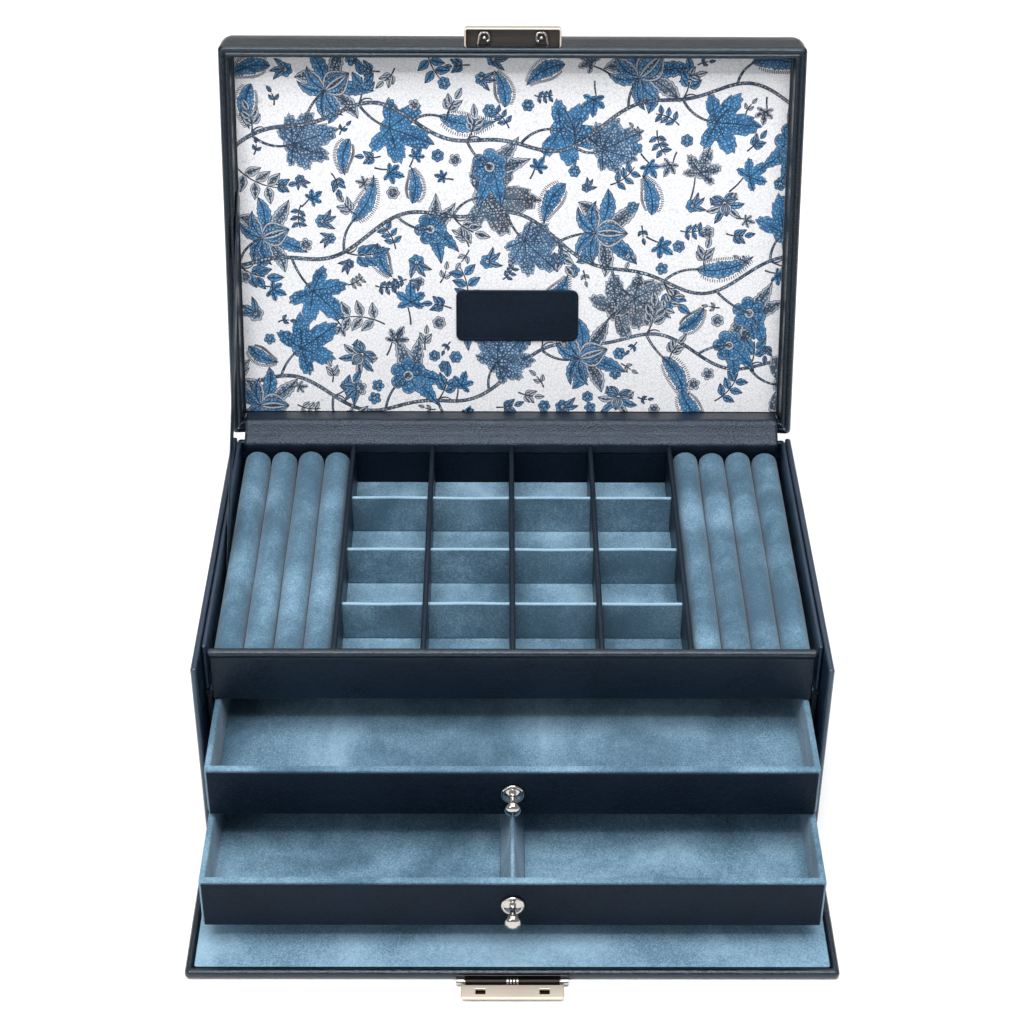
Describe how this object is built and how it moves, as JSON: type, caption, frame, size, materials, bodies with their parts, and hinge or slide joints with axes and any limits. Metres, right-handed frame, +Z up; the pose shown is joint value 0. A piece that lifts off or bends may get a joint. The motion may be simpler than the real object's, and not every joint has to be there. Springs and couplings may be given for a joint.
{
  "type": "jewelry gift box",
  "caption": "Leather-covered jewellery case: hinged lid, fixed tray with ring rolls and compartments, pull-out drawers, drop front with hasp.",
  "frame": {"origin": "middle of the body's flat underside, on the surface it stands on", "axes": "+X to the right seen from the front, +Y from the drawers to the rear wall, +Z up"},
  "size_m": [0.32, 0.4219, 0.331],
  "materials": {
    "navy_leather": "smooth grained, slight sheen",
    "navy_liner": "matt covered board",
    "blue_suede": "brushed suede-like velour",
    "printed_lining": "printed leatherette with a botanical pattern",
    "badge_leather": "matt",
    "brushed_nickel": "brushed",
    "chrome": "polished"
  },
  "bodies": {
    "case": {"base_board": "navy_leather", "bay_liner_left": "navy_liner", "bay_liner_right": "navy_liner", "cross_strip_1": "blue_suede", "cross_strip_2": "blue_suede", "cross_strip_3": "blue_suede", "drawer_runner_left": "navy_liner", "drawer_runner_right": "navy_liner", "drawer_shelf": "navy_liner", "front_lip": "navy_leather", "front_panel": "navy_leather", "hinge_band": "navy_leather", "lid_stay": "navy_leather", "long_divider_1": "navy_leather", "long_divider_2": "navy_leather", "long_divider_3": "navy_leather", "long_divider_4": "navy_leather", "long_divider_5": "navy_leather", "plinth_rail": "navy_leather", "rear_wall": "navy_leather", "ring_roll_left_1": "blue_suede", "ring_roll_left_2": "blue_suede", "ring_roll_left_3": "blue_suede", "ring_roll_left_4": "blue_suede", "ring_roll_right_1": "blue_suede", "ring_roll_right_2": "blue_suede", "ring_roll_right_3": "blue_suede", "ring_roll_right_4": "blue_suede", "side_wall_left": "navy_leather", "side_wall_right": "navy_leather", "tray_floor": "navy_liner", "tray_liner_left": "navy_leather", "tray_liner_rear": "navy_leather", "tray_liner_right": "navy_leather", "tray_suede": "blue_suede"},
    "lid": {"lid_wall_left": "navy_leather", "lid_wall_right": "navy_leather", "lid_wall_front": "navy_leather", "lid_wall_hinge": "navy_leather", "lid_lining": "printed_lining", "lid_panel": "navy_liner", "lid_top": "navy_leather", "lid_badge": "badge_leather", "catch_hood": "brushed_nickel", "catch_hooks": "brushed_nickel"},
    "upper_drawer": {"upper_drawer_box": "blue_suede", "upper_drawer_facing": "navy_leather", "upper_drawer_knob": "chrome"},
    "lower_drawer": {"lower_drawer_box": "blue_suede", "lower_drawer_facing": "navy_leather", "lower_drawer_knob": "chrome", "lower_drawer_split": "blue_suede"},
    "drop_front": {"flap_board": "navy_leather", "flap_lining": "blue_suede", "hasp_bracket": "brushed_nickel"},
    "hasp": {"hasp_plate": "brushed_nickel"}
  },
  "joints": [
    {"name": "lid_hinge", "type": "hinge", "parent": "case", "child": "lid", "pos_m": [0, 0.10618, 0.11322], "axis": [1, 0, 0], "range_deg": [0, 107.15], "deforming": ["hinge_band", "lid_stay"]},
    {"name": "upper_drawer_slide", "type": "slide", "parent": "case", "child": "upper_drawer", "axis": [0, -1, 0], "range_m": [-0.0539, 0.058]},
    {"name": "lower_drawer_slide", "type": "slide", "parent": "case", "child": "lower_drawer", "axis": [0, -1, 0], "range_m": [-0.0994, 0.012]},
    {"name": "drop_front_hinge", "type": "hinge", "parent": "case", "child": "drop_front", "pos_m": [0, -0.1045, 0.0053], "axis": [-1, 0, 0], "range_deg": [0, 5]},
    {"name": "hasp_hinge", "type": "hinge", "parent": "drop_front", "child": "hasp", "pos_m": [0, -0.2095, 0.0024], "axis": [-1, 0, 0], "range_deg": [0, 100]}
  ]
}
